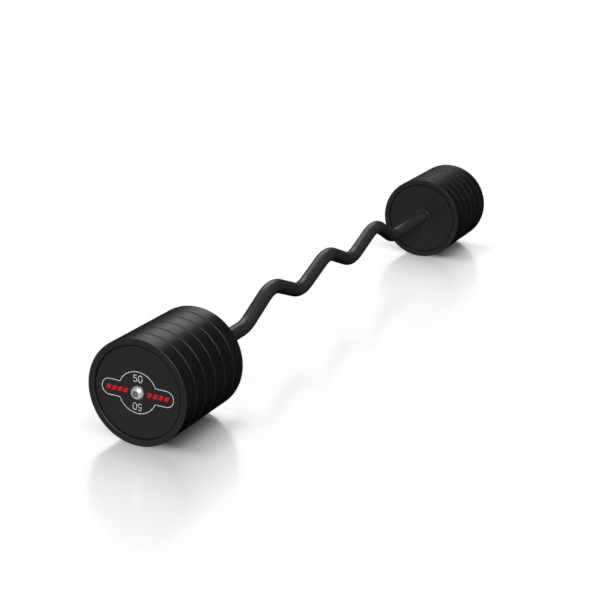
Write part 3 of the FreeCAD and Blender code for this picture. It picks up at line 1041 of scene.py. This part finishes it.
def floor_finish(settings):
    """Pale matt floor with a close shadow, under a blurred mirror.

    For the camera it fades to the white backdrop away from the barbell.
    """
    material = bpy.data.materials.new("studio floor")
    tree = empty_tree(material)
    place = put(tree, "ShaderNodeTexCoord").outputs["Object"]
    parts = put(tree, "ShaderNodeSeparateXYZ", {0: place}).outputs
    along = math_node(tree, "ABSOLUTE", parts["X"])
    lit = put(tree, "ShaderNodeBsdfDiffuse", {"Color": settings.floor}).outputs[0]
    matt = mixed(tree, settings.close, lit, floor_glow(tree, along, settings))
    near = mixed(tree, settings.sheen, matt, floor_mirror(tree, place, settings))
    past_end = larger(tree, minus(tree, along, HEAD_TOP), 0.0)
    distance = slanting(tree, past_end, parts["Y"])
    away = spread(tree, distance, 0.0, 1.0, settings.shaded, settings.faded, smooth=True)
    seen = put(tree, "ShaderNodeLightPath").outputs["Is Camera Ray"]
    surface = mixed(tree, times(tree, away, seen), near, white_light(tree, 1.0))
    put(tree, "ShaderNodeOutputMaterial", {"Surface": surface})
    return material


def floor_corners(settings, height):
    """Corners of the floor's square, at a height."""
    half = settings.floor_size / 2
    return [(-half, -half, height), (half, -half, height), (half, half, height), (-half, half, height)]


def add_stage(name, points, faces, material, hidden):
    """Makes a part of the stage that some kinds of ray don't see."""
    mesh = bpy.data.meshes.new(name)
    mesh.from_pydata(points, [], faces)
    mesh.materials.append(material)
    item = bpy.data.objects.new(name, mesh)
    for kind in hidden:
        setattr(item, f"visible_{kind}", False)
    bpy.context.scene.collection.objects.link(item)


def make_floor(settings):
    """The floor, which lights nothing and isn't mirrored: the world's lower half stands for that."""
    add_stage("studio_floor", floor_corners(settings, 0), [(0, 1, 2, 3)], floor_finish(settings),
              ("glossy", "diffuse"))


def make_haze(settings):
    """White haze just above the floor that only the floor's mirror sees, so that its picture fades upwards.

    Over a way s through it the share exp(-s / reach) is left, and the rest turns white.
    """
    material = bpy.data.materials.new("mirror haze")
    tree = empty_tree(material)
    mirrored = put(tree, "ShaderNodeLightPath").outputs["Is Singular Ray"]
    density = math_node(tree, "DIVIDE", mirrored, settings.haze_reach)
    dimmed = put(tree, "ShaderNodeVolumeAbsorption", {"Color": BLACK, "Density": density}).outputs[0]
    both = put(tree, "ShaderNodeAddShader", {0: dimmed, 1: white_light(tree, density)}).outputs[0]
    put(tree, "ShaderNodeOutputMaterial", {"Volume": both})
    points = floor_corners(settings, HAZE_GAP) + floor_corners(settings, settings.haze_height)
    quads = [(3, 2, 1, 0), (4, 5, 6, 7), (0, 1, 5, 4), (1, 2, 6, 5), (2, 3, 7, 6), (3, 0, 4, 7)]
    add_stage("mirror_haze", points, quads, material, ("camera", "diffuse", "shadow", "transmission"))


def make_world(scene, settings):
    """White for what the camera and the floor's mirror see, and even light from above for matt surfaces.

    Other shiny surfaces see a bright studio before the left end, a dim backdrop on the +Y side, a dimmer one
    on the -Y side, and the dark of the studio elsewhere.
    """
    world = bpy.data.worlds.new("studio")
    tree = empty_tree(world)
    place = put(tree, "ShaderNodeTexCoord").outputs["Generated"]
    way = put(tree, "ShaderNodeSeparateXYZ", {0: place}).outputs
    raised = spread(tree, way["Z"], 0.0, 1.0, *BACKDROP_RISE, smooth=True)
    backdrop = times(tree, raised, spread(tree, way["Y"], 0.0, BACKDROP_LEVEL, *BACKDROP_SIDE, smooth=True))
    before_end = spread(tree, way["X"], 0.0, END_LEVEL, *END_SIDE, smooth=True)
    near = spread(tree, way["Y"], 0.0, NEAR_LEVEL, *NEAR_SIDE, smooth=True)
    ray = put(tree, "ShaderNodeLightPath").outputs
    shiny = times(tree, ray["Is Glossy Ray"], larger(tree, backdrop, before_end, near))
    direct = larger(tree, ray["Is Camera Ray"], ray["Is Transmission Ray"], ray["Is Singular Ray"])
    matt = minus(tree, 1.0, larger(tree, direct, ray["Is Glossy Ray"]))
    even = times(tree, matt, spread(tree, way["Z"], settings.bounce, settings.fill, *HORIZON))
    level = plus(tree, larger(tree, direct, shiny), even)
    surface = put(tree, "ShaderNodeBackground", {"Color": WHITE, "Strength": level})
    put(tree, "ShaderNodeOutputWorld", {"Surface": surface.outputs[0]})
    scene.world = world


# Each far lamp's direction, width in degrees and level, and whether it leaves the floor out or lights only it
LAMPS = {
    "key": ((-0.70, -0.38, 0.61), 22.0, 0.88, "EXCLUDE"),
    "rear_box": ((0.65, 0.37, 0.66), 40.0, 0.21, "EXCLUDE"),
    "floor_box": ((0.24, 0.27, 0.92), 30.0, 0.46, "INCLUDE"),
}
END_LIGHT_POWER = 2.6
END_LIGHT_RADIUS = 30 * MM
END_LIGHT_REACH = 150 * MM


def add_lamp(lamp, member, link_state):
    """Lamp that lights one object alone or leaves it out."""
    receivers = bpy.data.collections.new(f"{lamp.name}_receivers")
    receivers.objects.link(bpy.data.objects[member])
    receivers.collection_objects[0].light_linking.link_state = link_state
    holder = bpy.data.objects.new(lamp.name, lamp)
    holder.light_linking.receiver_collection = receivers
    bpy.context.scene.collection.objects.link(holder)
    return holder


def make_lamps():
    """Three broad lamps far off: two leave the floor out, and one lights it alone and keeps its shadow soft.

    A small lamp close before the right end, on the bar's axis, lights the face there and no plate's side.
    """
    for name, (source, width, level, link_state) in LAMPS.items():
        lamp = bpy.data.lights.new(name, "SUN")
        lamp.angle = math.radians(width)
        lamp.energy = level * math.pi
        holder = add_lamp(lamp, "studio_floor", link_state)
        holder.rotation_mode = "QUATERNION"
        holder.rotation_quaternion = Vector(source).to_track_quat("Z", "Y")
    lamp = bpy.data.lights.new("end_light", "POINT")
    lamp.energy = END_LIGHT_POWER
    lamp.shadow_soft_size = END_LIGHT_RADIUS
    holder = add_lamp(lamp, f"right_jacket_{PLATE_COUNT}", "INCLUDE")
    holder.location = (HEAD_END + END_LIGHT_REACH, 0, AXIS_HEIGHT)
    holder.visible_camera = False
    holder.visible_glossy = False


def make_camera(scene, settings):
    """Camera at the viewing angle, turned back about the bar's axis by the barbell's roll on its plates."""
    camera = bpy.data.cameras.new("camera")
    camera.lens = settings.lens
    camera.clip_end = settings.floor_size
    holder = bpy.data.objects.new("camera", camera)
    heading, tilt = settings.heading, settings.tilt
    level = math.cos(tilt)
    forward = Vector((math.cos(heading) * level, math.sin(heading) * level, -math.sin(tilt)))
    right = Vector((math.sin(heading), -math.cos(heading), 0))
    turn = Matrix((right, right.cross(forward), -forward)).transposed().to_4x4()
    roll = Matrix.Rotation(-settings.roll, 4, "X")
    lift = Matrix.Translation((0, 0, AXIS_HEIGHT))
    holder.matrix_world = lift @ roll @ Matrix.Translation(settings.eye) @ turn
    scene.collection.objects.link(holder)
    scene.camera = holder


# Operators

class BarbellOperator:
    """What every operator of the barbell shares"""
    bl_options = {"REGISTER", "UNDO"}

    def settings(self, context):
        """The barbell's settings in this scene."""
        return context.scene.curl_barbell


class BARBELL_OT_shared_effects(BarbellOperator, bpy.types.Operator):
    """Makes the shader groups that the finishes share"""
    bl_idname = "barbell.shared_effects"
    bl_label = "Shared Effects"

    def execute(self, context):
        make_grain()
        make_handling()
        make_turning()
        return {"FINISHED"}


class BARBELL_OT_curl_bar(BarbellOperator, bpy.types.Operator):
    """Makes the bent bar"""
    bl_idname = "barbell.curl_bar"
    bl_label = "Curl Bar"

    def execute(self, context):
        settings = self.settings(context).bar
        points, faces = skin(bar_rings(settings), False)
        paint = paint_finish(settings, "bar paint", settings.paint)
        add_piece("curl_bar_skin", placed(points, 1), faces, paint, "barbell", "curl_bar")
        return {"FINISHED"}


class BARBELL_OT_shoulder_collars(BarbellOperator, bpy.types.Operator):
    """Makes the two collars that the heads are clamped against"""
    bl_idname = "barbell.shoulder_collars"
    bl_label = "Shoulder Collars"

    def execute(self, context):
        settings = self.settings(context).bar
        columns = self.settings(context).plates.columns
        paint = paint_finish(settings, "collar paint", settings.collar_paint)
        outline, mask = collar_outline(settings)
        points, faces = skin(turned(outline, columns), True)
        add_pair("collar_ring", points, faces, paint, "barbell", "shoulder_collar",
                 np.repeat(mask, columns))
        return {"FINISHED"}


class BARBELL_OT_plate_jackets(BarbellOperator, bpy.types.Operator):
    """Makes the twelve rubber jackets"""
    bl_idname = "barbell.plate_jackets"
    bl_label = "Plate Jackets"

    def execute(self, context):
        settings = self.settings(context).plates
        rubber = rubber_finish(settings)
        for number in range(1, PLATE_COUNT + 1):
            outline, mask = jacket_outline(number, settings)
            outline = outline + (HEAD_START + (number - 1) * PLATE_THICKNESS, 0)
            points, faces = skin(turned(outline, settings.columns), True)
            add_pair(f"jacket_{number}", points, faces, rubber, "barbell",
                     f"plate_jacket_{number}", np.repeat(mask, settings.columns))
        return {"FINISHED"}


class BARBELL_OT_plate_cores(BarbellOperator, bpy.types.Operator):
    """Gives the iron cores inside the jackets their finish"""
    bl_idname = "barbell.plate_cores"
    bl_label = "Plate Cores"

    def execute(self, context):
        iron = iron_finish(self.settings(context).plates)
        for name in SIDES:
            for number in range(1, PLATE_COUNT + 1):
                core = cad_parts[f"{name}_plate_core_{number}"]
                for slot in core.material_slots:
                    slot.material = iron
        return {"FINISHED"}


class BARBELL_OT_lock_washers(BarbellOperator, bpy.types.Operator):
    """Makes the split washers under the bolts' heads"""
    bl_idname = "barbell.lock_washers"
    bl_label = "Lock Washers"

    def execute(self, context):
        settings = self.settings(context).bolts
        steel = steel_finish(settings, "washer steel", settings.washer_steel)
        rings, mask = washer_rings(settings)
        points, faces = skin(rings, False)
        add_pair("split_washer", points, faces, steel, "{side}_washer", "lock_washer", mask)
        return {"FINISHED"}


class BARBELL_OT_end_bolts(BarbellOperator, bpy.types.Operator):
    """Makes the two button-head bolts"""
    bl_idname = "barbell.end_bolts"
    bl_label = "End Bolts"

    def execute(self, context):
        settings = self.settings(context).bolts
        steel = steel_finish(settings, "bolt steel", settings.steel)
        rings, mask = bolt_rings(settings)
        points, faces = skin(rings, False)
        add_pair("button_bolt", points, faces, steel, "{side}_bolt", "end_bolt", mask)
        return {"FINISHED"}


class BARBELL_OT_badge(BarbellOperator, bpy.types.Operator):
    """Makes the winged badge and its print on the left end"""
    bl_idname = "barbell.badge"
    bl_label = "Badge"

    def execute(self, context):
        settings = self.settings(context).badge
        side = SIDES["left"]
        film = print_finish("badge film", settings.film, roughness=0.42, wear=1.35)
        pale = print_finish("pale ink", settings.pale_ink, roughness=0.45, wear=0.9)
        red = print_finish("red ink", settings.red_ink, roughness=0.42, wear=0.9)
        points, faces = skin(badge_rings(settings), True)
        add_piece("left_badge_film", placed(points, side), faces, film, "barbell", "left_badge")
        prints = (("border", border_skin(settings), pale), ("numbers", number_skins(settings), pale),
                  ("dashes", dash_skins(settings), red))
        for name, (points, faces), ink in prints:
            add_piece(f"left_badge_{name}", placed(points, side), faces, ink, "barbell")
        return {"FINISHED"}


class BARBELL_OT_stage(BarbellOperator, bpy.types.Operator):
    """Makes the floor, the light and the camera"""
    bl_idname = "barbell.stage"
    bl_label = "Stage"

    def execute(self, context):
        settings = self.settings(context).stage
        make_floor(settings)
        make_haze(settings)
        make_world(context.scene, settings)
        make_lamps()
        make_camera(context.scene, settings)
        context.scene.view_settings.view_transform = "Standard"
        return {"FINISHED"}


# Panel and start

class VIEW3D_PT_curl_barbell(bpy.types.Panel):
    """Lists the barbell's operators and settings"""
    bl_label = "Curl Barbell"
    bl_space_type = "VIEW_3D"
    bl_region_type = "UI"
    bl_category = "Barbell"

    def draw(self, context):
        column = self.layout.column(align=True)
        for operator in OPERATORS:
            column.operator(operator.bl_idname)
        settings = context.scene.curl_barbell
        for group in (settings.plates, settings.bar, settings.bolts, settings.badge, settings.stage):
            box = self.layout.box()
            box.label(text=group.bl_rna.description)
            for key in group.__annotations__:
                box.prop(group, key)


OPERATORS = (
    BARBELL_OT_shared_effects, BARBELL_OT_curl_bar, BARBELL_OT_shoulder_collars, BARBELL_OT_plate_jackets,
    BARBELL_OT_plate_cores, BARBELL_OT_lock_washers, BARBELL_OT_end_bolts, BARBELL_OT_badge, BARBELL_OT_stage,
)
GROUP_CLASSES = (PlateSettings, BarSettings, BoltSettings, BadgeSettings, StageSettings, BarbellSettings)
CLASSES = (*GROUP_CLASSES, *OPERATORS, VIEW3D_PT_curl_barbell)


def register():
    for item in CLASSES:
        bpy.utils.register_class(item)
    bpy.types.Scene.curl_barbell = PointerProperty(type=BarbellSettings)


def unregister():
    del bpy.types.Scene.curl_barbell
    for item in reversed(CLASSES):
        bpy.utils.unregister_class(item)


def main():
    """Builds the barbell by its operators, in order."""
    register()
    for operator in OPERATORS:
        family, name = operator.bl_idname.split(".")
        getattr(getattr(bpy.ops, family), name)()


if __name__ == "__main__":
    main()
